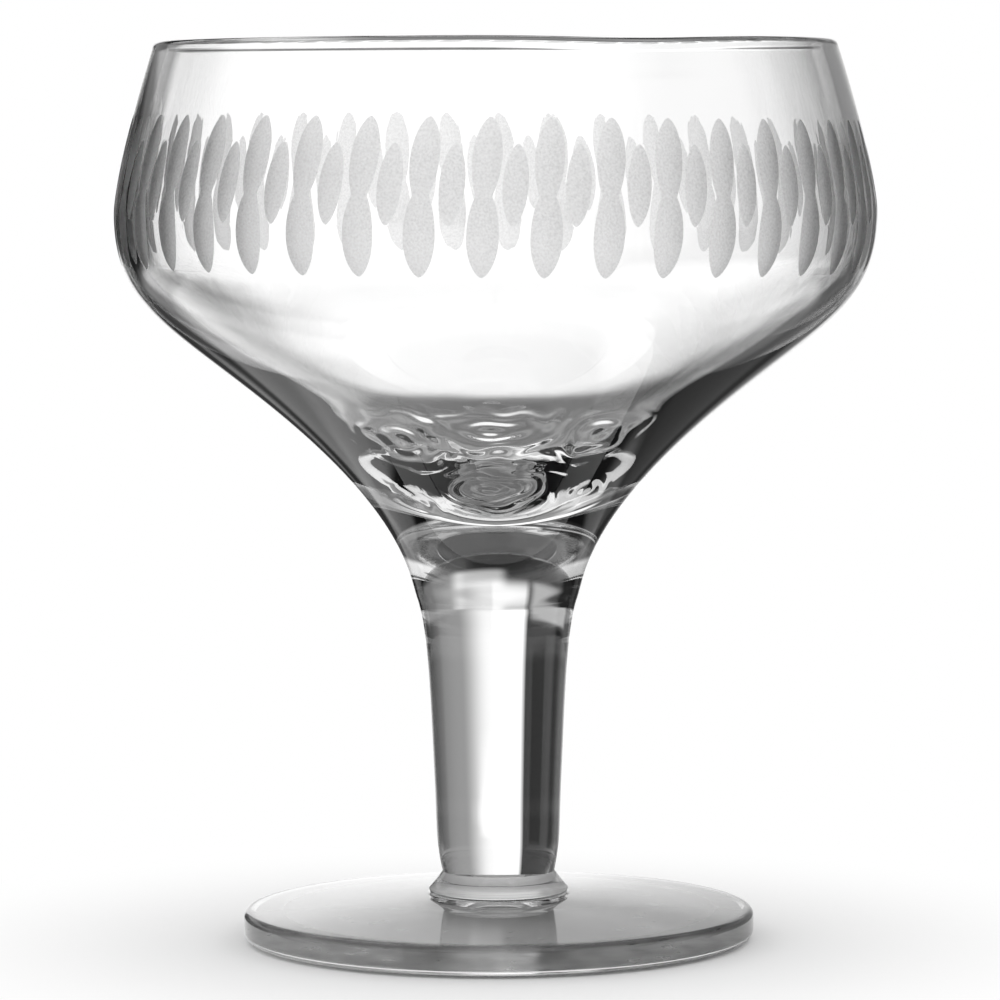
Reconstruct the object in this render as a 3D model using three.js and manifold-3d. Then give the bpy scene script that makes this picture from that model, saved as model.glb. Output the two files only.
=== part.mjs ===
import * as THREE from 'three';
import { mergeVertices } from 'three/addons/utils/BufferGeometryUtils.js';
import Module from 'manifold-3d';

// Margarita glass: a wide bowl with a cut band, a solid stem and a round foot, fused end to end.
// Lengths are millimetres and angles are degrees. The axis of the glass is Z, and the foot stands
// on z = 0. The front of the glass is -Y. An angle of an outline leans outward from the vertical.

// Foot
const footRadius = 32.55;
const footEdgeHeight = 3.75;
const footLowerRound = 1.1;
const footUpperRound = 0.9;
const footEdgeAngle = -85;
const footRise = 1.85;
const restRingWidth = 4;
const hollowDepth = 1.8;
const hollowEdgeAngle = 97;
const collarRadius = 8.7;
const collarAngle = -87;
const collarHeight = 2.9;
const collarWaistHeight = 2.1;
const collarBulge = 0.2;
const footJointRadius = 7.15;

// Stem
const stemLength = 34.8;
const stemWaistRadius = 8.1;
const stemWaistHeight = 11.7;
const stemFootAngle = 12;
const stemWaistAngle = 2.8;
const bowlJointRadius = 10.2;
const bowlJointAngle = 19;

// Bowl
const bowlHeight = 70.7;
const coneRadius = 28.4;
const coneHeight = 24.4;
const coneAngle = 50.6;
const bowlRadius = 48.22;
const wallHeight = 21.7;
const rimRadius = 43.3;
const rimAngle = -17.5;
const rimWall = 1.9;
const bowlWall = 2.25;
const coneWall = 3.25;
const innerConeAngle = 55.7;
const floorThickness = 13;
const floorRadius = 19;
const floorRise = 8.45;
const floorAngle = 64.4;

// How far the two handles of each bend of the outlines reach, as shares of the bend's length
const hollowShares = [0.35, 0.3];
const footTopShares = [0.35, 0.3];
const stemLowerShares = [0.36, 0.5];
const stemUpperShares = [0.5, 0.18];
const flareShares = [0.1, 0.72];
const shoulderShares = [0.515, 0.37];
const wallShares = [0.18, 0.33];
const floorShares = [0.26, 0.5];
const innerShoulderShares = [0.62, 0.31];

// Cut band: tall cuts of two lobes with a single short cut between each two
const cutCount = 40;
const cutDepth = 0.15;
const cutOverrun = 0.5;
const cutFullness = 0.72;
const waistDrop = 19.05;
const upperLobe = { width: 3.55, middle: 4.55, outer: 4.85, inner: 5.6, lean: 5.2 };
const lowerLobe = { width: 3.87, middle: 4.75, outer: 4.8, inner: 5.9, lean: 2.2 };
const shortCut = { width: 3.07, middle: 1.4, outer: 4.87, inner: 4.87, lean: 5.0 };
const bandPhase = -1.6;
const bandTilt = 0.65;
const lobeRowShares = [1, 0.8, 0.25];
const shortRowShares = [1, 0.75, 0, -0.75, -1];

// How finely the round surfaces and the bends of the outlines are divided
const bowlTurnSteps = 60;
const stemTurnSteps = 40;
const footTurnSteps = 60;
const hollowSteps = 4;
const footCornerSteps = 3;
const footTopSteps = 4;
const stemLowerSteps = 4;
const stemUpperSteps = 5;
const flareSteps = 4;
const shoulderSteps = 6;
const wallSteps = 3;
const lipSteps = 2;
const innerShoulderSteps = 5;
const floorSteps = 4;
const mergeDistance = 0.0001;

// Look of the glass
const glassColour = 0xedf1f1;
const glassRoughness = 0.03;
const glassOpacity = 0.35;

// Levels that follow from the sizes
const collarLevel = footEdgeHeight + footRise;
const footJointLevel = collarLevel + collarHeight;
const bowlJointLevel = footJointLevel + stemLength;
const rimLevel = bowlJointLevel + bowlHeight;
const widestLevel = rimLevel - wallHeight;

// A direction in the half-plane of radius and height, leaning outward from the vertical
function leaning(angle) {
  const turn = THREE.MathUtils.degToRad(angle);
  return new THREE.Vector2(Math.sin(turn), Math.cos(turn));
}

// The points of a smooth line between two points of an outline, each with its own direction
function bend(start, startAngle, end, endAngle, shares, steps) {
  const span = start.distanceTo(end);
  const startHandle = leaning(startAngle).multiplyScalar(shares[0] * span).add(start);
  const endHandle = leaning(endAngle).multiplyScalar(-shares[1] * span).add(end);
  return new THREE.CubicBezierCurve(start, startHandle, endHandle, end).getPoints(steps);
}

// The points of a round corner of an outline, from one direction out of its centre to another
function corner(radius, height, round, fromAngle, toAngle, steps) {
  const points = [];
  for (let step = 0; step <= steps; step += 1) {
    const turn = THREE.MathUtils.degToRad(THREE.MathUtils.lerp(fromAngle, toAngle, step / steps));
    points.push(new THREE.Vector2(radius + round * Math.cos(turn), height + round * Math.sin(turn)));
  }
  return points;
}

// One outline from several runs of points, without the points that two runs share
function outline(...runs) {
  const points = [];
  for (const point of runs.flat()) {
    const last = points[points.length - 1];
    if (!last || last.distanceTo(point) > mergeDistance) points.push(point);
  }
  return points;
}

function turned(points, steps) {
  return new THREE.LatheGeometry(points, steps).rotateX(Math.PI / 2);
}

function piece(name, geometry) {
  const material = new THREE.MeshStandardMaterial({ color: glassColour, roughness: glassRoughness });
  material.transparent = true;
  material.opacity = glassOpacity;
  const mesh = new THREE.Mesh(geometry, material);
  mesh.name = name;
  return mesh;
}

// Foot: a thick disc with a slightly domed top, a collar under the stem and a shallow hollow below
function footOutline() {
  const restRadius = footRadius - footLowerRound;
  const middle = new THREE.Vector2(0, hollowDepth);
  const hollowEdge = new THREE.Vector2(restRadius - restRingWidth, 0);
  const collarFoot = new THREE.Vector2(collarRadius, collarLevel);
  const hollow = bend(middle, 90, hollowEdge, hollowEdgeAngle, hollowShares, hollowSteps);
  const lower = corner(restRadius, footLowerRound, footLowerRound, -90, 0, footCornerSteps);
  const upperHeight = footEdgeHeight - footUpperRound;
  const upper = corner(
    footRadius - footUpperRound, upperHeight, footUpperRound, 0, -footEdgeAngle, footCornerSteps,
  );
  const edge = upper[upper.length - 1];
  const top = bend(edge, footEdgeAngle, collarFoot, collarAngle, footTopShares, footTopSteps);
  const collar = [
    new THREE.Vector2(collarRadius + collarBulge, footJointLevel - collarWaistHeight),
    new THREE.Vector2((collarRadius + footJointRadius) / 2, footJointLevel - collarWaistHeight / 2),
    new THREE.Vector2(footJointRadius, footJointLevel),
  ];
  const centre = new THREE.Vector2(0, footJointLevel);
  return outline(hollow, lower, upper, top, collar, [centre]);
}

// Stem: a solid waisted rod that flares into the bowl
function stemOutline() {
  const foot = new THREE.Vector2(footJointRadius, footJointLevel);
  const waist = new THREE.Vector2(stemWaistRadius, footJointLevel + stemWaistHeight);
  const joint = new THREE.Vector2(bowlJointRadius, bowlJointLevel);
  const lower = bend(foot, stemFootAngle, waist, stemWaistAngle, stemLowerShares, stemLowerSteps);
  const upper = bend(waist, stemWaistAngle, joint, bowlJointAngle, stemUpperShares, stemUpperSteps);
  const start = new THREE.Vector2(0, footJointLevel);
  const end = new THREE.Vector2(0, bowlJointLevel);
  return outline([start], lower, upper, [end]);
}

// Bowl, outside: from the joint out along the cone, round the shoulder and in to the lip
function bowlOutside() {
  const joint = new THREE.Vector2(bowlJointRadius, bowlJointLevel);
  const cone = new THREE.Vector2(coneRadius, bowlJointLevel + coneHeight);
  const widest = new THREE.Vector2(bowlRadius, widestLevel);
  const edge = lip()[0];
  return outline(
    bend(joint, bowlJointAngle, cone, coneAngle, flareShares, flareSteps),
    bend(cone, coneAngle, widest, 0, shoulderShares, shoulderSteps),
    bend(widest, 0, edge, rimAngle, wallShares, wallSteps),
  );
}

// The rounded lip, from the outside of the wall over its top to the inside
function lip() {
  const round = rimWall / 2;
  const outer = corner(rimRadius - round, rimLevel - round, round, -rimAngle, 90, lipSteps);
  const inner = corner(rimRadius - round, rimLevel - round, round, 90, 180 - rimAngle, lipSteps);
  return outline(outer, inner);
}

// Bowl, inside: from the dished floor up the cone and the wall to the lip
function bowlInside() {
  const floor = new THREE.Vector2(0, bowlJointLevel + floorThickness);
  const floorEdge = new THREE.Vector2(floorRadius, floor.y + floorRise);
  const inward = leaning(coneAngle - 90).multiplyScalar(coneWall);
  const cone = new THREE.Vector2(coneRadius, bowlJointLevel + coneHeight).add(inward);
  const widest = new THREE.Vector2(bowlRadius - bowlWall, widestLevel);
  const edge = lip().pop();
  return outline(
    bend(floor, 90, floorEdge, floorAngle, floorShares, floorSteps),
    bend(cone, innerConeAngle, widest, 0, innerShoulderShares, innerShoulderSteps),
    bend(widest, 0, edge, rimAngle, wallShares, wallSteps),
  );
}

// The radius of an outline at a height over its first point
function radiusAt(points, height) {
  const above = points.findIndex((point) => point.y >= height);
  const high = points[above];
  const low = points[above - 1];
  return THREE.MathUtils.mapLinear(height, low.y, high.y, low.x, high.x);
}

// Half the width of a lobe at a height over its own middle, or zero past its ends
function halfWidth(lobe, height) {
  const reach = height > 0 ? lobe.outer : lobe.inner;
  const share = height / reach;
  return Math.abs(share) < 1 ? (lobe.width / 2) * (1 - share * share) ** cutFullness : 0;
}

// Rows of one lobe, from its tip: the height over the waist and the half width. A lobe that hangs
// below the waist has side -1.
function lobeRows(lobe, shares, side) {
  return shares.map((share) => {
    const height = share * (share > 0 ? lobe.outer : lobe.inner);
    const rise = side * (lobe.middle + height);
    const drift = rise * Math.tan(THREE.MathUtils.degToRad(lobe.lean));
    return { rise, drift, half: Math.abs(share) === 1 ? 0 : halfWidth(lobe, height) };
  });
}

function tallRows() {
  const lobes = [upperLobe, lowerLobe];
  const waistHalf = Math.max(...lobes.map((lobe) => halfWidth(lobe, -lobe.middle)));
  const waist = { rise: 0, drift: 0, half: waistHalf };
  const lower = lobeRows(lowerLobe, lobeRowShares, -1).reverse();
  return [...lobeRows(upperLobe, lobeRowShares, 1), waist, ...lower];
}

function shortRows() {
  const rows = lobeRows(shortCut, shortRowShares, 1);
  const settle = shortCut.middle * Math.tan(THREE.MathUtils.degToRad(shortCut.lean));
  return rows.map((row) => ({ ...row, drift: row.drift - settle }));
}

// A closed cutter: the same ladder of rows just outside the bowl and just under its surface
function cutter(rows, azimuth, outside) {
  const positions = [];
  const ladder = [];
  const phase = THREE.MathUtils.degToRad(azimuth);
  const fall = Math.tan(THREE.MathUtils.degToRad(bandTilt)) * bowlRadius * Math.sin(phase);
  const waistLevel = rimLevel - waistDrop - fall;
  for (const row of rows) {
    const sides = row.half > 0 ? [-1, 1] : [0];
    const height = waistLevel + row.rise;
    const radius = radiusAt(outside, height);
    ladder.push(sides.map((side) => {
      const turn = phase + (row.drift + side * row.half) / radius;
      const index = positions.length / 3;
      for (const reach of [radius + cutOverrun, radius - cutDepth]) {
        positions.push(reach * Math.sin(turn), -reach * Math.cos(turn), height);
      }
      return index;
    }));
  }
  const faces = [];
  const quad = (a, b, c, d) => faces.push(a, b, c, a, c, d);
  for (let step = 1; step < ladder.length; step += 1) {
    const high = ladder[step - 1];
    const low = ladder[step];
    const highLeft = high[0];
    const highRight = high[high.length - 1];
    const lowLeft = low[0];
    const lowRight = low[low.length - 1];
    if (low.length > 1) {
      faces.push(highLeft, lowLeft, lowRight, highLeft + 1, lowRight + 1, lowLeft + 1);
    }
    if (high.length > 1) {
      faces.push(highLeft, lowRight, highRight, highLeft + 1, highRight + 1, lowRight + 1);
    }
    quad(highLeft, highLeft + 1, lowLeft + 1, lowLeft);
    quad(highRight, lowRight, lowRight + 1, highRight + 1);
  }
  const geometry = new THREE.BufferGeometry();
  geometry.setAttribute('position', new THREE.Float32BufferAttribute(positions, 3));
  geometry.setIndex(faces);
  return geometry;
}

const wasm = await Module();
wasm.setup();

// A closed body from a geometry: shared corners merged and flat triangles at the axis dropped
function toSolid(geometry) {
  const bare = geometry.clone();
  bare.deleteAttribute('normal');
  bare.deleteAttribute('uv');
  const merged = mergeVertices(bare, mergeDistance);
  const faces = [];
  const index = merged.index.array;
  for (let start = 0; start < index.length; start += 3) {
    const [a, b, c] = index.slice(start, start + 3);
    if (a !== b && b !== c && c !== a) faces.push(a, b, c);
  }
  const vertProperties = new Float32Array(merged.attributes.position.array);
  const triVerts = new Uint32Array(faces);
  return new wasm.Manifold(new wasm.Mesh({ numProp: 3, vertProperties, triVerts }));
}

function toGeometry(solid) {
  const mesh = solid.getMesh();
  const geometry = new THREE.BufferGeometry();
  geometry.setAttribute('position', new THREE.BufferAttribute(mesh.vertProperties, 3));
  geometry.setIndex(new THREE.BufferAttribute(mesh.triVerts, 1));
  geometry.computeVertexNormals();
  return geometry;
}

function bowlGeometry() {
  const outside = bowlOutside();
  const start = new THREE.Vector2(0, bowlJointLevel);
  const profile = outline([start], outside, lip(), bowlInside().reverse());
  let bowl = toSolid(turned(profile, bowlTurnSteps));
  const pitch = 360 / cutCount;
  for (let cut = 0; cut < cutCount; cut += 1) {
    const azimuth = bandPhase + cut * pitch;
    bowl = bowl.subtract(toSolid(cutter(tallRows(), azimuth, outside)));
    bowl = bowl.subtract(toSolid(cutter(shortRows(), azimuth + pitch / 2, outside)));
  }
  return toGeometry(bowl);
}

const glass = new THREE.Group();
glass.add(piece('foot', turned(footOutline(), footTurnSteps)));
glass.add(piece('stem', turned(stemOutline(), stemTurnSteps)));
glass.add(piece('bowl', bowlGeometry()));

export default glass;
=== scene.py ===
import math

import bpy
from mathutils import Euler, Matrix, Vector, noise


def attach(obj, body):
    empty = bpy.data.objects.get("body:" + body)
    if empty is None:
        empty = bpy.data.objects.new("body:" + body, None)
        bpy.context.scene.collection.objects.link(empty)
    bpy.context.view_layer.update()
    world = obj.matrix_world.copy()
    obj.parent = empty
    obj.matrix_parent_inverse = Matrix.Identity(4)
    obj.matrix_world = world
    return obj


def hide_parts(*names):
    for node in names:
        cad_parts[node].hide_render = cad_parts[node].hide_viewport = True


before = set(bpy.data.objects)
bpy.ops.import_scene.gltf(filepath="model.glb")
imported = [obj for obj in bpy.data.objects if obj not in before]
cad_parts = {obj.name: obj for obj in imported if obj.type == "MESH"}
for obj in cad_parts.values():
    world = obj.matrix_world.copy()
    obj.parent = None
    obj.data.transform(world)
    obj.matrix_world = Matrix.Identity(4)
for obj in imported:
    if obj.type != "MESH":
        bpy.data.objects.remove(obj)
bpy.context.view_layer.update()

# Lengths are written in millimetres and angles in degrees, unless a comment says otherwise. The
# meshes are built in metres. Z is the axis of the glass, the foot stands on z = 0, and the front of
# the glass is -Y.
MM = 0.001

# Foot
FOOT_RADIUS = 32.55
FOOT_EDGE_HEIGHT = 3.75
FOOT_LOWER_ROUND = 1.1
FOOT_UPPER_ROUND = 0.9
FOOT_EDGE_ANGLE = -85
FOOT_RISE = 1.85
REST_RING_WIDTH = 4
HOLLOW_DEPTH = 1.8
HOLLOW_EDGE_ANGLE = 97
COLLAR_RADIUS = 8.7
COLLAR_ANGLE = -87
COLLAR_HEIGHT = 2.9
COLLAR_WAIST_HEIGHT = 2.1
COLLAR_BULGE = 0.2
FOOT_JOINT_RADIUS = 7.15

# Stem
STEM_LENGTH = 34.8
STEM_WAIST_RADIUS = 8.1
STEM_WAIST_HEIGHT = 11.7
STEM_FOOT_ANGLE = 12
STEM_WAIST_ANGLE = 2.8
BOWL_JOINT_RADIUS = 10.2
BOWL_JOINT_ANGLE = 19

# Bowl
BOWL_HEIGHT = 70.7
CONE_RADIUS = 28.4
CONE_HEIGHT = 24.4
CONE_ANGLE = 50.6
BOWL_RADIUS = 48.22
WALL_HEIGHT = 21.7
RIM_RADIUS = 43.3
RIM_ANGLE = -17.5
RIM_WALL = 1.9
BOWL_WALL = 2.25
CONE_WALL = 3.25
INNER_CONE_ANGLE = 55.7
FLOOR_THICKNESS = 13
FLOOR_RADIUS = 19
FLOOR_RISE = 8.45
FLOOR_ANGLE = 64.4

# Handles of the bends of the outlines, as shares of the straight way between a bend's two ends
HOLLOW_SHARES = (0.35, 0.3)
FOOT_TOP_SHARES = (0.35, 0.3)
STEM_LOWER_SHARES = (0.36, 0.5)
STEM_UPPER_SHARES = (0.5, 0.18)
FLARE_SHARES = (0.1, 0.72)
SHOULDER_SHARES = (0.515, 0.37)
WALL_SHARES = (0.18, 0.33)
FLOOR_SHARES = (0.26, 0.5)
INNER_SHOULDER_SHARES = (0.62, 0.31)

# Cut band: each lobe has a width, the height of its middle away from the waist of the band, its
# reach from there outward and inward, and its lean
CUT_COUNT = 40
CUT_DEPTH = 0.15
CUT_FULLNESS = 0.62
WAIST_DROP = 19.05
UPPER_LOBE = {"width": 3.55, "middle": 4.55, "outer": 4.85, "inner": 5.6, "lean": 5.2}
LOWER_LOBE = {"width": 3.87, "middle": 4.75, "outer": 4.8, "inner": 5.9, "lean": 2.2}
SHORT_CUT = {"width": 3.07, "middle": 1.4, "outer": 4.87, "inner": 4.87, "lean": 5.0}
BAND_PHASE = -1.6
BAND_TILT = 0.65

# The outer radius of the rest ring, and levels over the table
REST_RADIUS = FOOT_RADIUS - FOOT_LOWER_ROUND
COLLAR_LEVEL = FOOT_EDGE_HEIGHT + FOOT_RISE
FOOT_JOINT_LEVEL = COLLAR_LEVEL + COLLAR_HEIGHT
BOWL_JOINT_LEVEL = FOOT_JOINT_LEVEL + STEM_LENGTH
RIM_LEVEL = BOWL_JOINT_LEVEL + BOWL_HEIGHT
FLOOR_LEVEL = BOWL_JOINT_LEVEL + FLOOR_THICKNESS
WAIST_LEVEL = RIM_LEVEL - WAIST_DROP
WIDEST_LEVEL = RIM_LEVEL - WALL_HEIGHT

# Marks of the making: eddies and a slow swirl inside the thick bottom, the fused seam and the
# uneven lip. Each eddy is nested rings in the inner surface: the x and y of its middle, how far it
# reaches along each, how many rings it has, and how deep they are. SIZE is that of the features of
# a noise, LEVEL is the height where a mark begins to fade in or out, and FADE how long that takes.
EDDIES = (
    ((-0.7, -10.6), (10.0, 7.0), 5, 0.022),
    ((-0.7, -22.5), (15.0, 6.0), 3, 0.05),
    ((-11.0, -18.0), (9.0, 9.0), 3, 0.06),
    ((12.0, -18.5), (9.0, 9.0), 3, 0.06),
    ((-8.0, -3.0), (4.0, 5.0), 2, 0.03),
    ((9.0, -6.0), (4.0, 5.0), 2, 0.03),
)
EDDY_SWAY = 0.3
EDDY_SWAY_SIZE = 3.0
EDDY_SEED = 100
SWIRL_SIZE = 7.0
SWIRL_SEED = 7.7
SWIRL_DEPTH = 0.05
SWIRL_LEVEL = 65.5
SWIRL_FADE = 6.0
SEAM_WIDTH = 0.8
SEAM_DEPTH = 0.07
SEAM_MEAN = 0.6
SEAM_SPREAD = 0.9
SEAM_GRAIN_SIZE = 4.0
SEAM_SEED = 5.5
RIM_DIP = 0.35
RIM_DIP_AZIMUTH = 24
RIM_DIP_SPREAD = 16
RIM_DIP_LEVEL = 106
RIM_DIP_FADE = 7

# Fineness of the outlines. Where the floor, the cone and the shoulder of the inside meet, their
# line is softened EDGE_SOFTENING times, up to SOFTENED_STEPS into the shoulder.
MERGE_DISTANCE = 1e-5
HOLLOW_STEPS = 30
REST_RING_STEPS = 6
FOOT_CORNER_STEPS = 10
FOOT_TOP_STEPS = 40
STEM_LOWER_STEPS = 20
STEM_UPPER_STEPS = 30
FLARE_STEPS = 60
SHOULDER_STEPS = 60
WALL_STEPS = 40
LIP_STEPS = 24
FLOOR_STEPS = 110
INNER_CONE_STEPS = 40
INNER_SHOULDER_STEPS = 120
INNER_WALL_STEPS = 36
EDGE_SOFTENING = 80
SOFTENED_STEPS = 14

# Fineness round the axis and in the band. The band is made of strips of columns, one for each cut
# and one for each gap. Rows stand at TIP_ROWS inward from the tip of each cut, other rows keep
# TIP_CLEARANCE away from those, and the strip of a cut is nowhere narrower than twice TIP_HALF.
TURN_STEPS = 200
INSIDE_TURN_STEPS = 2 * TURN_STEPS
LIP_TURN_STEPS = 4 * TURN_STEPS
TALL_COLUMNS = 8
SHORT_COLUMNS = 6
GAP_COLUMNS = 3
SHORT_FIRST = TALL_COLUMNS + GAP_COLUMNS
SECTOR_COLUMNS = TALL_COLUMNS + SHORT_COLUMNS + 2 * GAP_COLUMNS
CUT_PITCH = 2 * math.pi / CUT_COUNT
BAND_REACH = 14.0
BAND_GAP = 0.3
ROW_SPACING = 0.5
TIP_ROWS = (0.03, 0.1, 0.22, 0.36)
TIP_CLEARANCE = 0.1
TIP_HALF = 0.01

# Looks of the glass: pairs of grey or roughness that a noise varies between, and, in metres, the
# sizes of the noises and the heights of the bumps
GLASS_IOR = 1.51
NOISE_LOW = 0.3
NOISE_HIGH = 0.7
CLEAR_GREYS = (0.98, 0.995)
CLEAR_CLOUD_SIZE = 0.02
CLEAR_CLOUD_DETAIL = 2.0
CLEAR_WAVE_SIZE = 0.006
CLEAR_WAVE_DETAIL = 1.0
CLEAR_WAVE_HEIGHT = 0.000002
DULLED_GREYS = (0.93, 0.99)
DULLED_ROUGHNESS = (0.25, 0.45)
DULLED_CLOUD_SIZE = 0.004
DULLED_CLOUD_DETAIL = 4.0
FROSTED_GREYS = (0.56, 0.98)
FROSTED_ROUGHNESS = (0.36, 0.52)
FROSTED_GRAIN_SIZE = 0.0003
FROSTED_GRAIN_DETAIL = 3.0
FROSTED_GRAIN_HEIGHT = 0.00002

# Camera, worked out from the ellipses of the rim and the foot in the photo: its place and clip end
# are in metres and its tilt is in radians
CAMERA_PLACE = (0.000404, -0.648, 0.1028)
CAMERA_TILT = 0.07232
CAMERA_LEAN = 0.25
CAMERA_LENS = 183.96
CAMERA_SENSOR = 36.0
CAMERA_CLIP_END = 20.0

# Light bounces that the glass needs
MAX_BOUNCES = 32
TRANSMISSION_BOUNCES = 24
TRANSPARENT_BOUNCES = 24


def leaning(angle):
    """A direction that leans outward from the vertical by an angle."""
    turn = math.radians(angle)
    return Vector((math.sin(turn), math.cos(turn)))


def bend(start, start_angle, end, end_angle, shares, steps):
    """Points of a smooth line between two places, each a radius and a height.

    The angles are those of the line at its two ends, and the shares say how far its handles reach.
    """
    start, end = Vector(start), Vector(end)
    span = (end - start).length
    first = start + leaning(start_angle) * shares[0] * span
    second = end - leaning(end_angle) * shares[1] * span
    points = []
    for step in range(steps + 1):
        way = step / steps
        rest = 1 - way
        from_start = start * rest**3 + first * 3 * rest * rest * way
        points.append(from_start + second * 3 * rest * way * way + end * way**3)
    return points


def corner(radius, height, rounding, from_angle, to_angle, steps):
    """Points of a round corner, from one direction out of its centre to another."""
    points = []
    for step in range(steps + 1):
        turn = math.radians(from_angle + (to_angle - from_angle) * step / steps)
        points.append(Vector((
            radius + rounding * math.cos(turn), height + rounding * math.sin(turn),
        )))
    return points


def outline(*runs):
    """One line from several runs of points, without the points that two runs share."""
    points = []
    for run in runs:
        for point in run:
            point = Vector(point)
            if not points or (points[-1] - point).length > MERGE_DISTANCE:
                points.append(point)
    return points


def foot_outline():
    hollow_radius = REST_RADIUS - REST_RING_WIDTH
    hollow = bend(
        (0, HOLLOW_DEPTH), 90, (hollow_radius, 0), HOLLOW_EDGE_ANGLE, HOLLOW_SHARES, HOLLOW_STEPS,
    )
    ring = [
        Vector((hollow_radius + i * REST_RING_WIDTH / REST_RING_STEPS, 0))
        for i in range(REST_RING_STEPS + 1)
    ]
    lower = corner(REST_RADIUS, FOOT_LOWER_ROUND, FOOT_LOWER_ROUND, -90, 0, FOOT_CORNER_STEPS)
    upper = corner(
        FOOT_RADIUS - FOOT_UPPER_ROUND, FOOT_EDGE_HEIGHT - FOOT_UPPER_ROUND, FOOT_UPPER_ROUND,
        0, -FOOT_EDGE_ANGLE, FOOT_CORNER_STEPS,
    )
    top = bend(
        upper[-1], FOOT_EDGE_ANGLE, (COLLAR_RADIUS, COLLAR_LEVEL), COLLAR_ANGLE,
        FOOT_TOP_SHARES, FOOT_TOP_STEPS,
    )
    bulge_level = FOOT_JOINT_LEVEL - COLLAR_WAIST_HEIGHT
    neck_level = FOOT_JOINT_LEVEL - COLLAR_WAIST_HEIGHT / 2
    collar = [
        Vector((COLLAR_RADIUS + COLLAR_BULGE, bulge_level)),
        Vector(((COLLAR_RADIUS + FOOT_JOINT_RADIUS) / 2, neck_level)),
        Vector((FOOT_JOINT_RADIUS, FOOT_JOINT_LEVEL)),
    ]
    return outline(hollow, ring, lower, upper, top, collar)


def stem_outline():
    foot = (FOOT_JOINT_RADIUS, FOOT_JOINT_LEVEL)
    waist = (STEM_WAIST_RADIUS, FOOT_JOINT_LEVEL + STEM_WAIST_HEIGHT)
    joint = (BOWL_JOINT_RADIUS, BOWL_JOINT_LEVEL)
    lower = bend(
        foot, STEM_FOOT_ANGLE, waist, STEM_WAIST_ANGLE, STEM_LOWER_SHARES, STEM_LOWER_STEPS,
    )
    upper = bend(
        waist, STEM_WAIST_ANGLE, joint, BOWL_JOINT_ANGLE, STEM_UPPER_SHARES, STEM_UPPER_STEPS,
    )
    return outline(lower, upper)


# The top of the cone and the lip, which the outside and the inside of the bowl share
CONE = Vector((CONE_RADIUS, BOWL_JOINT_LEVEL + CONE_HEIGHT))
LIP_ROUND = RIM_WALL / 2
LIP = corner(
    RIM_RADIUS - LIP_ROUND, RIM_LEVEL - LIP_ROUND, LIP_ROUND,
    -RIM_ANGLE, 180 - RIM_ANGLE, LIP_STEPS,
)


def bowl_outside():
    joint = (BOWL_JOINT_RADIUS, BOWL_JOINT_LEVEL)
    widest = (BOWL_RADIUS, WIDEST_LEVEL)
    return outline(
        bend(joint, BOWL_JOINT_ANGLE, CONE, CONE_ANGLE, FLARE_SHARES, FLARE_STEPS),
        bend(CONE, CONE_ANGLE, widest, 0, SHOULDER_SHARES, SHOULDER_STEPS),
        bend(widest, 0, LIP[0], RIM_ANGLE, WALL_SHARES, WALL_STEPS),
    )


def softened(points, times):
    """The same line with its corners rounded.

    Each time, all points but the two ends move halfway to the middle between their neighbours.
    """
    points = [point.copy() for point in points]
    for _ in range(times):
        trios = zip(points, points[1:], points[2:])
        points[1:-1] = [(before + point * 2 + after) / 4 for before, point, after in trios]
    return points


def bowl_inside():
    floor = (0, FLOOR_LEVEL)
    floor_edge = Vector((FLOOR_RADIUS, FLOOR_LEVEL + FLOOR_RISE))
    cone = CONE + leaning(CONE_ANGLE - 90) * CONE_WALL
    widest = (BOWL_RADIUS - BOWL_WALL, WIDEST_LEVEL)
    dish = bend(floor, 90, floor_edge, FLOOR_ANGLE, FLOOR_SHARES, FLOOR_STEPS)
    slope = [
        floor_edge + (cone - floor_edge) * i / INNER_CONE_STEPS for i in range(INNER_CONE_STEPS + 1)
    ]
    shoulder = bend(
        cone, INNER_CONE_ANGLE, widest, 0, INNER_SHOULDER_SHARES, INNER_SHOULDER_STEPS,
    )
    return outline(
        softened(outline(dish, slope, shoulder[:SOFTENED_STEPS]), EDGE_SOFTENING),
        shoulder[SOFTENED_STEPS:],
        bend(widest, 0, LIP[-1], RIM_ANGLE, WALL_SHARES, INNER_WALL_STEPS),
    )


def smooth(share):
    """The share, held between 0 and 1, with a soft start and end."""
    share = min(max(share, 0), 1)
    return share * share * (3 - 2 * share)


def radius_at(points, height):
    """The radius of a rising outline at a height."""
    low, high = 0, len(points) - 1
    while high - low > 1:
        middle = (low + high) // 2
        if points[middle].y > height:
            high = middle
        else:
            low = middle
    lower, upper = points[low], points[high]
    return lower.x + (upper.x - lower.x) * (height - lower.y) / (upper.y - lower.y)


def across(points):
    """The direction out of the outline at each of its points, to the right of its run."""
    directions = []
    for i in range(len(points)):
        run = points[min(i + 1, len(points) - 1)] - points[max(i - 1, 0)]
        directions.append(Vector((run.y, -run.x)).normalized())
    return directions


def grain(radius, azimuth, height, size, seed):
    """Smooth noise between -1 and 1 over the surface, with features of about the given size."""
    place = Vector((radius * math.sin(azimuth), -radius * math.cos(azimuth), height)) / size
    return noise.noise(place + Vector((seed, seed, seed)))


def eddy(x, y, middle, reach, rings, depth):
    """How far one eddy lifts or sinks the inner surface at a place."""
    away = math.hypot((x - middle[0]) / reach[0], (y - middle[1]) / reach[1])
    if away > 1:
        return 0.0
    sway = noise.noise(Vector((x, y, depth * EDDY_SEED)) / EDDY_SWAY_SIZE)
    away += EDDY_SWAY * away * sway
    return depth * math.cos(2 * math.pi * rings * away) * (1 - smooth(away * away))


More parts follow.
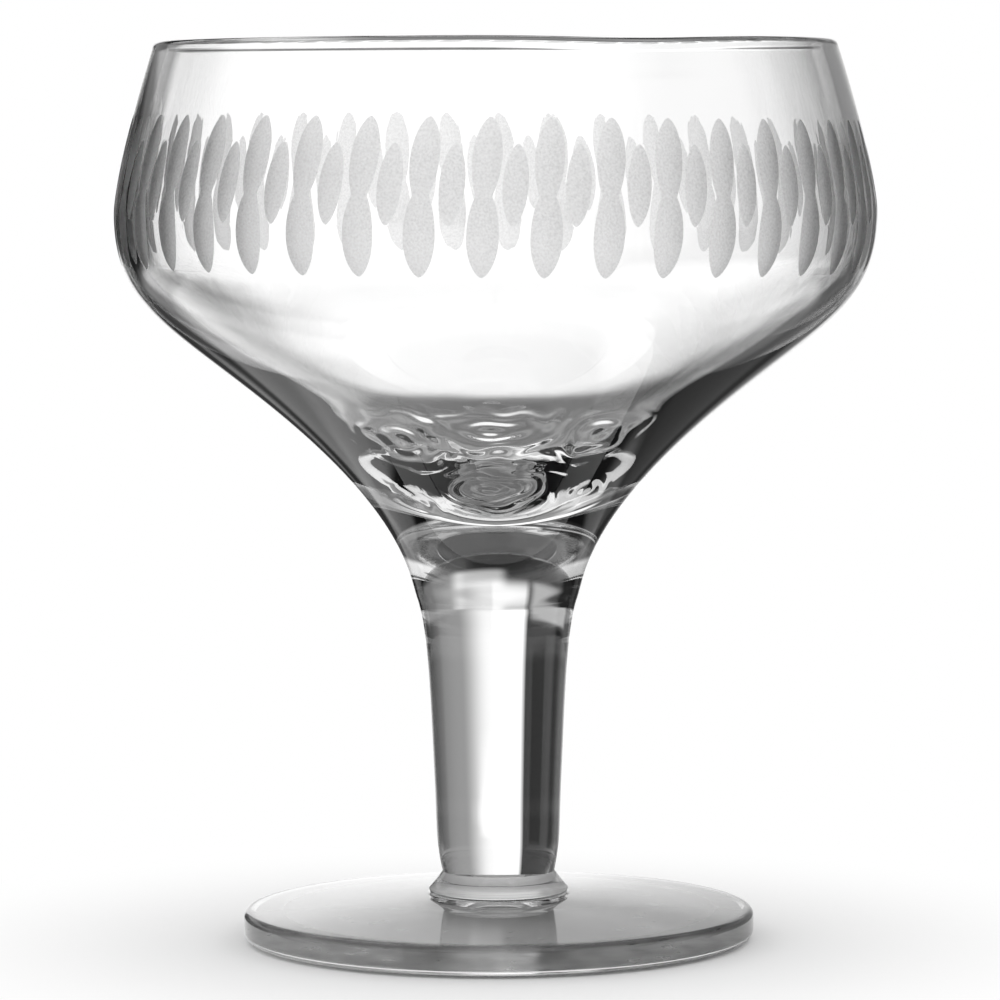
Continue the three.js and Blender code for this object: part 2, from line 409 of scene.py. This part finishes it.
def cavity_waves(radius, azimuth, height):
    """How far the inside of the bowl stands off its outline."""
    x, y = radius * math.sin(azimuth), -radius * math.cos(azimuth)
    swirl = SWIRL_DEPTH * grain(radius, azimuth, height, SWIRL_SIZE, SWIRL_SEED)
    eddies = sum(eddy(x, y, *shape) for shape in EDDIES)
    return (swirl + eddies) * (1 - smooth((height - SWIRL_LEVEL) / SWIRL_FADE))


def seam_waves(radius, azimuth, height):
    """The faint uneven groove where the stem is fused to the bowl."""
    near = math.exp(-(((height - BOWL_JOINT_LEVEL) / SEAM_WIDTH) ** 2))
    unevenness = SEAM_SPREAD * grain(radius, azimuth, height, SEAM_GRAIN_SIZE, SEAM_SEED)
    return -SEAM_DEPTH * near * (SEAM_MEAN + unevenness)


def rim_dip(azimuth, height):
    """The lip isn't quite level: how far it sinks at one side."""
    turn = (math.degrees(azimuth) - RIM_DIP_AZIMUTH + 180) % 360 - 180
    share = smooth((height - RIM_DIP_LEVEL) / RIM_DIP_FADE)
    return -RIM_DIP * math.exp(-((turn / RIM_DIP_SPREAD) ** 2)) * share


class Turned:
    """Collects rings of points and the faces between them. Slot 0 of each piece is clear glass."""

    def __init__(self):
        self.places = []
        self.faces = []
        self.slots = []
        self.sharp = []

    def ring(self, spots):
        """spots holds (radius, azimuth in radians, height) of each point, in millimetres."""
        first = len(self.places)
        for radius, azimuth, height in spots:
            self.places.append((
                radius * math.sin(azimuth) * MM, -radius * math.cos(azimuth) * MM, height * MM,
            ))
        return list(range(first, first + len(spots)))

    def pole(self, height):
        """A point on the axis."""
        self.places.append((0, 0, height * MM))
        return len(self.places) - 1

    def plain_ring(self, point):
        turns = [2 * math.pi * i / TURN_STEPS for i in range(TURN_STEPS)]
        return self.ring([(point.x, turn, point.y) for turn in turns])

    def waved_rings(self, points, waves, phase=0.0, steps=TURN_STEPS):
        """Rings of an outline whose points stand off it by what waves says."""
        rings = []
        for point, direction in zip(points, across(points)):
            spots = []
            for i in range(steps):
                azimuth = phase + 2 * math.pi * i / steps
                off = waves(point.x, azimuth, point.y)
                spots.append((
                    point.x + direction.x * off, azimuth,
                    point.y + direction.y * off + rim_dip(azimuth, point.y),
                ))
            rings.append(self.ring(spots))
        return rings

    def join(self, low, high, slot=0):
        """Faces between two rings, the second further along the outline. One ring may be finer."""
        if len(low) == len(high):
            for i in range(len(low)):
                j = (i + 1) % len(low)
                self.face((low[i], low[j], high[j], high[i]), slot)
            return
        if len(low) < len(high):
            many = len(high) // len(low)
            for i in range(len(low)):
                j = (i + 1) % len(low)
                fine = [high[(i * many + k) % len(high)] for k in range(many, -1, -1)]
                self.face((low[i], low[j], *fine), slot)
        else:
            many = len(low) // len(high)
            for i in range(len(high)):
                j = (i + 1) % len(high)
                fine = [low[(i * many + k) % len(low)] for k in range(many + 1)]
                self.face((*fine, high[j], high[i]), slot)

    def fan(self, ring, pole, slot=0, up=False):
        """Faces between a ring and a point on the axis: with up, the last point of the outline."""
        for i in range(len(ring)):
            j = (i + 1) % len(ring)
            self.face((ring[i], ring[j], pole) if up else (ring[j], ring[i], pole), slot)

    def crease(self, ring):
        """Makes the edge along a ring a sharp one."""
        self.sharp += zip(ring, ring[1:] + ring[:1])

    def face(self, corners, slot=0):
        self.faces.append(corners)
        self.slots.append(slot)

    def build(self, name, materials):
        """An object in the scene, made of all that was collected."""
        mesh = bpy.data.meshes.new(name)
        mesh.from_pydata(self.places, [], self.faces)
        for material in materials:
            mesh.materials.append(material)
        mesh.polygons.foreach_set("material_index", self.slots)
        mesh.polygons.foreach_set("use_smooth", [True] * len(mesh.polygons))
        if self.sharp:
            wanted = {frozenset(pair) for pair in self.sharp}
            for edge in mesh.edges:
                if frozenset(edge.vertices) in wanted:
                    edge.use_edge_sharp = True
        mesh.validate()
        mesh.update()
        thing = bpy.data.objects.new(name, mesh)
        bpy.context.scene.collection.objects.link(thing)
        return thing


def lobe_half(lobe, height):
    """Half the width of a cut at a height over the middle of its lobe."""
    reach = lobe["outer"] if height > 0 else lobe["inner"]
    share = min(abs(height / reach), 1)
    return lobe["width"] / 2 * (1 - share * share) ** CUT_FULLNESS


def tall_half(rise):
    """Half the width of the tall cut at a height over the waist of the band."""
    upper = lobe_half(UPPER_LOBE, rise - UPPER_LOBE["middle"])
    lower = lobe_half(LOWER_LOBE, -rise - LOWER_LOBE["middle"])
    return max(upper, lower)


def short_half(rise):
    """Half the width of the short cut at a height over the waist of the band."""
    return lobe_half(SHORT_CUT, rise - SHORT_CUT["middle"])


TALL_TOP = UPPER_LOBE["middle"] + UPPER_LOBE["outer"]
TALL_FOOT = -LOWER_LOBE["middle"] - LOWER_LOBE["outer"]
SHORT_TOP = SHORT_CUT["middle"] + SHORT_CUT["outer"]
SHORT_FOOT = SHORT_CUT["middle"] - SHORT_CUT["inner"]


def band_rows():
    """Heights of the rows of the band over its waist, from the lowest to the highest."""
    count = round(2 * BAND_REACH / ROW_SPACING)
    rows = [-BAND_REACH + 2 * BAND_REACH * i / count for i in range(count + 1)]
    for tip, inward in ((TALL_TOP, -1), (SHORT_TOP, -1), (SHORT_FOOT, 1), (TALL_FOOT, 1)):
        near = [tip] + [tip + inward * step for step in TIP_ROWS]
        span = (min(near) - TIP_CLEARANCE, max(near) + TIP_CLEARANCE)
        rows = [row for row in rows if not span[0] < row < span[1]] + near
    return sorted(rows)


def relaxed(rise, foot, top):
    """0 within a cut's height, rising to 1 at the edge of the band."""
    if rise > top:
        return smooth((rise - top) / (BAND_REACH - top))
    if rise < foot:
        return smooth((foot - rise) / (BAND_REACH + foot))
    return 0.0


def strip_reach(half, radius, columns, loose):
    """Half the turn that a strip of columns takes up: as its cut, or an even share where loose."""
    reach = max(half, TIP_HALF) / radius
    return reach + (CUT_PITCH * columns / SECTOR_COLUMNS / 2 - reach) * loose


def tall_place(radius, rise):
    """The turns to the middle of the tall cut and from there to its outline."""
    loose = relaxed(rise, TALL_FOOT, TALL_TOP)
    clamped = min(max(rise, TALL_FOOT), TALL_TOP)
    lean = UPPER_LOBE["lean"] if rise > 0 else LOWER_LOBE["lean"]
    middle = clamped * math.tan(math.radians(lean)) / radius * (1 - loose)
    return middle, strip_reach(tall_half(rise), radius, TALL_COLUMNS, loose)


def short_place(radius, rise):
    """The turns to the middle of the short cut and from there to its outline."""
    loose = relaxed(rise, SHORT_FOOT, SHORT_TOP)
    clamped = min(max(rise, SHORT_FOOT), SHORT_TOP)
    drift = (clamped - SHORT_CUT["middle"]) * math.tan(math.radians(SHORT_CUT["lean"])) / radius
    middle = CUT_PITCH / 2 + drift * (1 - loose)
    return middle, strip_reach(short_half(rise), radius, SHORT_COLUMNS, loose)


def strip(middle, reach, half, columns):
    """Points across a cut of a half width: the turn to each, and how deep it sinks."""
    depth = CUT_DEPTH * (half * 2 / LOWER_LOBE["width"]) ** 2
    points = []
    for i in range(columns + 1):
        side = 2 * i / columns - 1
        points.append((middle + side * reach, depth * (1 - side * side)))
    return points


def gap(start, end):
    """Points between two cuts, without those on their outlines."""
    return [(start + (end - start) * i / GAP_COLUMNS, 0) for i in range(1, GAP_COLUMNS)]


def sector(radius, rise):
    """Points of one row across a tall cut, a short cut and the gaps after them."""
    tall_middle, tall_reach = tall_place(radius, rise)
    short_middle, short_reach = short_place(radius, rise)
    return [
        *strip(tall_middle, tall_reach, tall_half(rise), TALL_COLUMNS),
        *gap(tall_middle + tall_reach, short_middle - short_reach),
        *strip(short_middle, short_reach, short_half(rise), SHORT_COLUMNS),
        *gap(short_middle + short_reach, tall_middle - tall_reach + CUT_PITCH),
    ]


def band_row(body, outside, rise):
    """A ring through the cuts: its points follow their outlines and sink into their hollows."""
    points = sector(radius_at(outside, WAIST_LEVEL + rise), rise)
    edge = max(TALL_TOP, -TALL_FOOT)
    hold = 1 - smooth((abs(rise) - edge) / (BAND_REACH - edge))
    fall = math.tan(math.radians(BAND_TILT)) * BOWL_RADIUS * hold
    spots = []
    for number in range(CUT_COUNT):
        for offset, depth in points:
            azimuth = math.radians(BAND_PHASE) + number * CUT_PITCH + offset
            height = WAIST_LEVEL + rise - fall * math.sin(azimuth)
            spots.append((radius_at(outside, height) - depth, azimuth, height))
    return body.ring(spots)


def join_band(body, low, high, rise_low, rise_high):
    """Faces between two rows of the band: frosted inside the cuts, with a sharp outline."""
    middle = (rise_low + rise_high) / 2
    cuts = []
    if TALL_FOOT < middle < TALL_TOP:
        cuts.append((0, TALL_COLUMNS))
    if SHORT_FOOT < middle < SHORT_TOP:
        cuts.append((SHORT_FIRST, SHORT_FIRST + SHORT_COLUMNS))
    frosted_slot = BOWL_LOOKS.index(FROSTED)
    for i in range(len(low)):
        j = (i + 1) % len(low)
        column = i % SECTOR_COLUMNS
        frosted = any(first <= column < last for first, last in cuts)
        body.face((low[i], low[j], high[j], high[i]), frosted_slot if frosted else 0)
        if any(column in cut for cut in cuts):
            body.sharp.append((low[i], high[i]))


def new_material(name):
    """A material, its tree and its Principled shader."""
    material = bpy.data.materials.new(name)
    material.use_nodes = True
    tree = material.node_tree
    return material, tree, tree.nodes["Principled BSDF"]


def bare_material(name):
    """A material without a shader: it, its tree, and the input that its shader goes to."""
    material, tree, shader = new_material(name)
    tree.nodes.remove(shader)
    return material, tree, tree.nodes["Material Output"].inputs["Surface"]


def ranged(tree, value, source, target):
    """A node that carries a value over from one pair of limits to another."""
    node = tree.nodes.new("ShaderNodeMapRange")
    for name, limit in zip(("From Min", "From Max", "To Min", "To Max"), (*source, *target)):
        node.inputs[name].default_value = limit
    tree.links.new(value, node.inputs["Value"])
    return node


def surface_noise(tree, size, detail):
    """Noise over the surface, between 0 and 1, with features of about the given size in metres."""
    place = tree.nodes.new("ShaderNodeTexCoord")
    pattern = tree.nodes.new("ShaderNodeTexNoise")
    pattern.inputs["Scale"].default_value = 1 / size
    pattern.inputs["Detail"].default_value = detail
    tree.links.new(place.outputs["Object"], pattern.inputs["Vector"])
    return pattern.outputs["Fac"]


def shaded(tree, shader, noise_out, greys):
    """Lets a noise vary the colour of a shader between two greys."""
    ramp = tree.nodes.new("ShaderNodeValToRGB")
    for element, place, grey in zip(ramp.color_ramp.elements, (NOISE_LOW, NOISE_HIGH), greys):
        element.position = place
        element.color = (grey, grey, grey, 1)
    tree.links.new(noise_out, ramp.inputs["Fac"])
    tree.links.new(ramp.outputs["Color"], shader.inputs["Base Color"])


def roughened(tree, shader, noise_out, ends):
    """Lets a noise vary the roughness of a shader between two values."""
    spread = ranged(tree, noise_out, (NOISE_LOW, NOISE_HIGH), ends)
    tree.links.new(spread.outputs["Result"], shader.inputs["Roughness"])


def bumped(tree, shader, noise_out, height):
    """Lets a noise raise bumps of a height in metres."""
    bump = tree.nodes.new("ShaderNodeBump")
    bump.inputs["Distance"].default_value = height
    tree.links.new(noise_out, bump.inputs["Height"])
    tree.links.new(bump.outputs["Normal"], shader.inputs["Normal"])


def glass(name):
    """Glass without a finish yet: the material, its tree and its shader."""
    material, tree, shader = new_material(name)
    shader.inputs["IOR"].default_value = GLASS_IOR
    shader.inputs["Transmission Weight"].default_value = 1.0
    return material, tree, shader


def clear_glass():
    """Polished glass, with a trace of unevenness from the mould."""
    material, tree, shader = glass("clear_glass")
    shader.inputs["Roughness"].default_value = 0.0
    cloud = surface_noise(tree, CLEAR_CLOUD_SIZE, CLEAR_CLOUD_DETAIL)
    shaded(tree, shader, cloud, CLEAR_GREYS)
    waves = surface_noise(tree, CLEAR_WAVE_SIZE, CLEAR_WAVE_DETAIL)
    bumped(tree, shader, waves, CLEAR_WAVE_HEIGHT)
    return material


def dulled_glass():
    """The underside of the foot, a little dulled."""
    material, tree, shader = glass("dulled_glass")
    cloud = surface_noise(tree, DULLED_CLOUD_SIZE, DULLED_CLOUD_DETAIL)
    shaded(tree, shader, cloud, DULLED_GREYS)
    roughened(tree, shader, cloud, DULLED_ROUGHNESS)
    return material


def frosted_glass():
    """The cuts: fine sparkling grain."""
    material, tree, shader = glass("frosted_glass")
    grains = surface_noise(tree, FROSTED_GRAIN_SIZE, FROSTED_GRAIN_DETAIL)
    shaded(tree, shader, grains, FROSTED_GREYS)
    roughened(tree, shader, grains, FROSTED_ROUGHNESS)
    bumped(tree, shader, grains, FROSTED_GRAIN_HEIGHT)
    return material


def weld():
    """The faces where the pieces are fused: light goes straight on."""
    material, tree, surface = bare_material("fused_joint")
    clear = tree.nodes.new("ShaderNodeBsdfTransparent")
    tree.links.new(clear.outputs[0], surface)
    return material


CLEAR = clear_glass()
FROSTED = frosted_glass()
DULLED = dulled_glass()
WELD = weld()
FOOT_LOOKS = [CLEAR, WELD, DULLED]
STEM_LOOKS = [CLEAR, WELD]
BOWL_LOOKS = [CLEAR, FROSTED, WELD]


def make_foot():
    """The foot, from the middle of its hollow underside round the edge and up to the stem."""
    body = Turned()
    points = foot_outline()
    pole = body.pole(points[0].y)
    rings = [body.plain_ring(point) for point in points[1:]]
    body.fan(rings[0], pole)
    for low, high, point in zip(rings, rings[1:], points[2:]):
        dulled = point.y < HOLLOW_DEPTH and COLLAR_RADIUS < point.x <= REST_RADIUS
        body.join(low, high, FOOT_LOOKS.index(DULLED) if dulled else 0)
    body.fan(rings[-1], body.pole(points[-1].y), FOOT_LOOKS.index(WELD), up=True)
    body.crease(rings[-1])
    return body.build("foot_glass", FOOT_LOOKS)


def make_stem():
    """The stem, with the groove of the fused seam at its top."""
    body = Turned()
    points = stem_outline()
    rings = body.waved_rings(points, seam_waves)
    body.fan(rings[0], body.pole(points[0].y), STEM_LOOKS.index(WELD))
    for low, high in zip(rings, rings[1:]):
        body.join(low, high)
    body.fan(rings[-1], body.pole(points[-1].y), STEM_LOOKS.index(WELD), up=True)
    body.crease(rings[0])
    body.crease(rings[-1])
    return body.build("stem_glass", STEM_LOOKS)


def make_bowl():
    """The bowl, from the stem up its outside, through the cuts, over the lip and down inside."""
    body = Turned()
    outside = bowl_outside()
    inside = bowl_inside()
    rises = band_rows()
    phase = math.radians(BAND_PHASE) - math.pi * TALL_COLUMNS / CUT_COUNT / SECTOR_COLUMNS
    low_edge = WAIST_LEVEL - BAND_REACH - BAND_GAP
    high_edge = WAIST_LEVEL + BAND_REACH + BAND_GAP
    below = [point for point in outside if point.y < low_edge]
    above = [point for point in outside if point.y > high_edge]
    rings = body.waved_rings(below, seam_waves, phase)
    body.fan(rings[0], body.pole(below[0].y), BOWL_LOOKS.index(WELD))
    body.crease(rings[0])
    for low, high in zip(rings, rings[1:]):
        body.join(low, high)
    band = [band_row(body, outside, rise) for rise in rises]
    body.join(rings[-1], band[0])
    for i in range(len(band) - 1):
        join_band(body, band[i], band[i + 1], rises[i], rises[i + 1])
    rings = body.waved_rings(outline(above, LIP), cavity_waves, phase, LIP_TURN_STEPS)
    rings += body.waved_rings(inside[-2:0:-1], cavity_waves, phase, INSIDE_TURN_STEPS)
    body.join(band[-1], rings[0])
    for low, high in zip(rings, rings[1:]):
        body.join(low, high)
    body.fan(rings[-1], body.pole(inside[0].y), up=True)
    return body.build("bowl_glass", BOWL_LOOKS)


for thing, node in ((make_foot(), "foot"), (make_stem(), "stem"), (make_bowl(), "bowl")):
    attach(thing, "root")
    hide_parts(node)


def place_camera():
    data = bpy.data.cameras.new("camera")
    data.lens = CAMERA_LENS
    data.sensor_width = CAMERA_SENSOR
    data.clip_end = CAMERA_CLIP_END
    camera = bpy.data.objects.new("camera", data)
    camera.location = CAMERA_PLACE
    camera.rotation_mode = "QUATERNION"
    tilt = Euler((math.pi / 2 - CAMERA_TILT, 0, 0)).to_quaternion()
    lean = Euler((0, 0, -math.radians(CAMERA_LEAN))).to_quaternion()
    camera.rotation_quaternion = tilt @ lean
    bpy.context.scene.collection.objects.link(camera)
    bpy.context.scene.camera = camera


place_camera()


# Stage: a white world, pale paper, and a soft tent of lamps, pale cloth and dark cloth that only
# the glass sees. The tent is a ball, bright at the sides and behind the camera. Each patch of it is
# (azimuth from, azimuth to, height from, height to) in degrees, then the widths of its four soft
# edges in the same order, then its brightness. Azimuth 0 is behind the glass and 90 is to its
# right. A patch with a brightness below 0 is a dark panel before brighter cloth.
CLOTH = 0.015
BRIGHTEST = 1.2
PATCHES = (
    # Behind the glass: the window, and what is beside, under and over it
    ((-14, 4, -7, 8), (2, 18, 3, 12), 0.79),
    ((-14, 1.6, -7, 12), (2, 1.6, 3, 8), 0.21),
    ((-50, -20, 9, 15), (8, 5, 2, 4), 0.45),
    ((-14, 22, -7, 12), (2, 40, 5, 8), 0.22),
    ((-5, 8, -12, -8), (4, 6, 5, 3), 0.95),
    ((-6, 15, -15, -8), (3, 4, 4, 2), 0.18),
    ((0, 18, 16, 22), (6, 8, 4, 5), 0.5),
    ((20, 55, 14, 22), (6, 8, 4, 5), 0.15),
    # To the right and behind the camera, with the three dark panels
    ((80, 180, -42, 28), (12, 1, 10, 10), 0.85),
    ((97, 118, -15, -7), (4, 4, 3, 4), -0.65),
    ((-172, -148, 0, 12), (5, 6, 3, 6), -0.62),
    ((150, 172, 0, 12), (6, 5, 3, 6), -0.5),
    # To the left and behind the camera
    ((-180, -80, -42, 28), (1, 12, 10, 10), 0.62),
    ((-180, -128, -42, 28), (1, 14, 10, 10), 0.23),
    ((-78, -60, -10, 14), (8, 14, 5, 5), 0.1),
    # High up: two patches behind the glass and two behind the camera
    ((-37, -22, 42, 56), (5, 4, 4, 5), 0.7),
    ((30, 46, 42, 56), (6, 8, 4, 5), 0.38),
    ((125, 178, 34, 40), (8, 1, 8, 5), 0.5),
    ((-178, -125, 34, 40), (1, 12, 8, 6), 0.4),
    # Below the window, from its lower edge down
    ((-46, -30, -26, -15), (6, 6, 4, 4), 0.55),
    ((-15, -8, -26, -18), (4, 4, 4, 3), 0.5),
    ((8, 30, -40, -24), (5, 6, 4, 4), 0.12),
    ((-8, 6, -26, -15), (4, 6, 4, 3), 0.12),
    ((34, 42, -26, -14), (5, 6, 4, 3), 0.15),
    ((-58, -32, -42, -26), (6, 6, 6, 3), 0.9),
    ((-32, -12, -40, -26), (4, 6, 4, 3), 0.6),
    ((-8, 8, -40, -26), (6, 6, 4, 3), 0.18),
    ((38, 50, -42, -26), (6, 8, 6, 4), 0.65),
    ((-44, -26, -58, -42), (6, 6, 5, 4), 1.0),
    # The bottom of the tent, left and right
    ((-178, -54, -90, -62), (1, 8, 1, 4), 0.45),
    ((54, 178, -90, -62), (8, 1, 1, 4), 0.5),
    # A trace of light below, to the right of the window, and overhead
    ((-180, 180, -90, -14), (1, 1, 1, 5), 0.06),
    ((20, 70, -10, 40), (10, 10, 5, 8), 0.06),
    ((-180, 180, 60, 90), (1, 1, 8, 1), 0.06),
)

# Sizes of the tent and the paper, in metres, and the turn between points of the tent in degrees.
# The end rings of the tent stop a little short of its poles.
TENT_RADIUS = 2.0
TENT_MIDDLE = 0.05
TENT_STEP = 1.5
TENT_END = 89.9
PAPER_REACH = 6.0
PAPER_LEVEL = -0.0003
SPOT_RADIUS = 0.05
SPOT_LEVEL = -0.0002

# Shade on the paper: its grey, how far from the axis the painted shadow under the stem reaches,
# and how far from the axis it turns white. The glass sees a spot of paper under the foot with
# painted light from the left, brighter at its left edge than at its right, where the painted light
# runs out a little before the edge of the foot.
PAPER_GREY = 0.97
SHADE_FROM = 0.006
SHADE_TO = 0.013
WHITE_FROM = 0.025
WHITE_TO = 0.085
SPOT_PAINTED_LIGHT_SHARES = (0.75, -0.1)
SPOT_PAINTED_SHADOW_SHARE = 0.35


def between(value, low, high, low_edge, high_edge):
    """1 between two limits, with soft edges outside them."""
    rising = smooth((value - low + low_edge) / low_edge)
    falling = smooth((high + high_edge - value) / high_edge)
    return rising * falling


def brightness(azimuth, elevation):
    """What the glass sees of the tent in one direction."""
    level = CLOTH
    for limits, edges, glow in PATCHES:
        share = between(azimuth, limits[0], limits[1], edges[0], edges[1])
        share *= between(elevation, limits[2], limits[3], edges[2], edges[3])
        level += glow * share
    return min(level, BRIGHTEST)


def stage_mesh(name, places, faces, material, levels=None):
    """An object of the stage. levels says how brightly it glows at each of its points."""
    mesh = bpy.data.meshes.new(name)
    mesh.from_pydata(places, [], faces)
    mesh.materials.append(material)
    if levels:
        mesh.attributes.new("glow", "FLOAT", "POINT").data.foreach_set("value", levels)
    thing = bpy.data.objects.new(name, mesh)
    bpy.context.scene.collection.objects.link(thing)
    return thing


def arithmetic(tree, operation, first, second):
    """What an operation makes of two values, the second of which may be a plain number."""
    node = tree.nodes.new("ShaderNodeMath")
    node.operation = operation
    tree.links.new(first, node.inputs[0])
    if isinstance(second, float):
        node.inputs[1].default_value = second
    else:
        tree.links.new(second, node.inputs[1])
    return node.outputs[0]


def seen_plainly(tree):
    """1 for rays of the camera, also once the glass has sent them on, and 0 for scattered light."""
    path = tree.nodes.new("ShaderNodeLightPath")
    seen = path.outputs["Is Camera Ray"]
    for kind in ("Is Glossy Ray", "Is Transmission Ray"):
        seen = arithmetic(tree, "MAXIMUM", seen, path.outputs[kind])
    return seen


def whiteness(tree, place, distance, white_limits, painted_light_shares):
    """How white the paper glows: from the axis outward and, under the foot, with painted light from
    left to right.
    """
    sideways = tree.nodes.new("ShaderNodeSeparateXYZ")
    tree.links.new(place, sideways.inputs[0])
    foot_edges = (-FOOT_RADIUS * MM, FOOT_RADIUS * MM)
    # Painted light under the foot: the glow is stronger towards the left edge
    near = ranged(tree, sideways.outputs["X"], foot_edges, painted_light_shares)
    away = ranged(tree, distance, white_limits, (0.0, 1.0))
    away.interpolation_type = "SMOOTHSTEP"
    tree.links.new(near.outputs["Result"], away.inputs["To Min"])
    return away.outputs["Result"]


def paper(name, white_limits, painted_light_shares=(0.0, 0.0), painted_shadow_share=1.0):
    """Pale paper near the glass, where its shadow falls, that turns into plain white further off.

    The shares say how much painted light it glows with under the left and the right edge of the
    foot, and how much of its brightness a painted shadow leaves under the stem.
    """
    material, tree, surface = bare_material(name)
    place = tree.nodes.new("ShaderNodeTexCoord").outputs["Object"]
    length = tree.nodes.new("ShaderNodeVectorMath")
    length.operation = "LENGTH"
    tree.links.new(place, length.inputs[0])
    distance = length.outputs["Value"]
    # Painted shadow under the stem: near the axis the paper's colour and glow are darker
    shade = ranged(tree, distance, (SHADE_FROM, SHADE_TO), (painted_shadow_share, 1.0)).outputs["Result"]
    white = whiteness(tree, place, distance, white_limits, painted_light_shares)
    share = arithmetic(tree, "MULTIPLY", seen_plainly(tree), white)
    share = arithmetic(tree, "MULTIPLY", share, shade)
    matt = tree.nodes.new("ShaderNodeBsdfDiffuse")
    tree.links.new(arithmetic(tree, "MULTIPLY", shade, PAPER_GREY), matt.inputs["Color"])
    glow = tree.nodes.new("ShaderNodeEmission")
    mix = tree.nodes.new("ShaderNodeMixShader")
    for i, source in enumerate((share, matt.outputs[0], glow.outputs[0])):
        tree.links.new(source, mix.inputs[i])
    tree.links.new(mix.outputs[0], surface)
    return material


def tent_cloth():
    """Glows as brightly as the tent's points say."""
    material, tree, surface = bare_material("tent")
    level = tree.nodes.new("ShaderNodeAttribute")
    level.attribute_name = "glow"
    glow = tree.nodes.new("ShaderNodeEmission")
    tree.links.new(level.outputs["Fac"], glow.inputs["Strength"])
    tree.links.new(glow.outputs[0], surface)
    material.cycles.emission_sampling = "NONE"
    return material


def tent():
    """The ball of cloth and lamps round the set, seen by the glass alone."""
    places, levels, faces = [], [], []
    rings, spokes = round(180 / TENT_STEP), round(360 / TENT_STEP)
    for ring in range(rings + 1):
        elevation = -90 + 180 * ring / rings
        rise = math.radians(min(max(elevation, -TENT_END), TENT_END))
        for spoke in range(spokes):
            azimuth = -180 + 360 * spoke / spokes
            turn = math.radians(azimuth)
            places.append((
                TENT_RADIUS * math.cos(rise) * math.sin(turn),
                TENT_RADIUS * math.cos(rise) * math.cos(turn),
                TENT_MIDDLE + TENT_RADIUS * math.sin(rise),
            ))
            levels.append(brightness(azimuth, elevation))
    for ring in range(rings):
        for spoke in range(spokes):
            after = (spoke + 1) % spokes
            low, high = ring * spokes, (ring + 1) * spokes
            faces.append((low + spoke, low + after, high + after, high + spoke))
    thing = stage_mesh("tent", places, faces, tent_cloth(), levels)
    thing.visible_camera = False
    thing.visible_diffuse = False
    thing.visible_shadow = False


def floor():
    """The paper that the glass stands on, which the glass itself doesn't see."""
    corners = [(-1, -1), (1, -1), (1, 1), (-1, 1)]
    places = [(x * PAPER_REACH, y * PAPER_REACH, PAPER_LEVEL) for x, y in corners]
    white_paper = paper("white_paper", (WHITE_FROM, WHITE_TO))
    thing = stage_mesh("floor", places, [(0, 1, 2, 3)], white_paper)
    thing.visible_transmission = False
    thing.visible_glossy = False


def floor_under_the_foot():
    """The paper that only the glass sees, with painted light from the left and a painted shadow
    under the stem.
    """
    turns = [2 * math.pi * i / TURN_STEPS for i in range(TURN_STEPS)]
    places = [
        (SPOT_RADIUS * math.cos(turn), SPOT_RADIUS * math.sin(turn), SPOT_LEVEL) for turn in turns
    ]
    limits = (SPOT_RADIUS, WHITE_TO)
    # Painted light from the left and a painted shadow under the stem, seen through the foot
    seen_paper = paper("paper_under_the_foot", limits, SPOT_PAINTED_LIGHT_SHARES, SPOT_PAINTED_SHADOW_SHARE)
    thing = stage_mesh("floor_under_the_foot", places, [tuple(range(TURN_STEPS))], seen_paper)
    thing.visible_camera = False
    thing.visible_diffuse = False
    thing.visible_shadow = False


def white_world():
    world = bpy.data.worlds.new("studio")
    world.use_nodes = True
    bpy.context.scene.world = world
    background = world.node_tree.nodes["Background"]
    background.inputs["Color"].default_value = (1, 1, 1, 1)
    background.inputs["Strength"].default_value = 1.0


floor()
floor_under_the_foot()
tent()
white_world()

scene = bpy.context.scene
scene.view_settings.view_transform = "Standard"
scene.cycles.max_bounces = MAX_BOUNCES
scene.cycles.transmission_bounces = TRANSMISSION_BOUNCES
scene.cycles.transparent_max_bounces = TRANSPARENT_BOUNCES
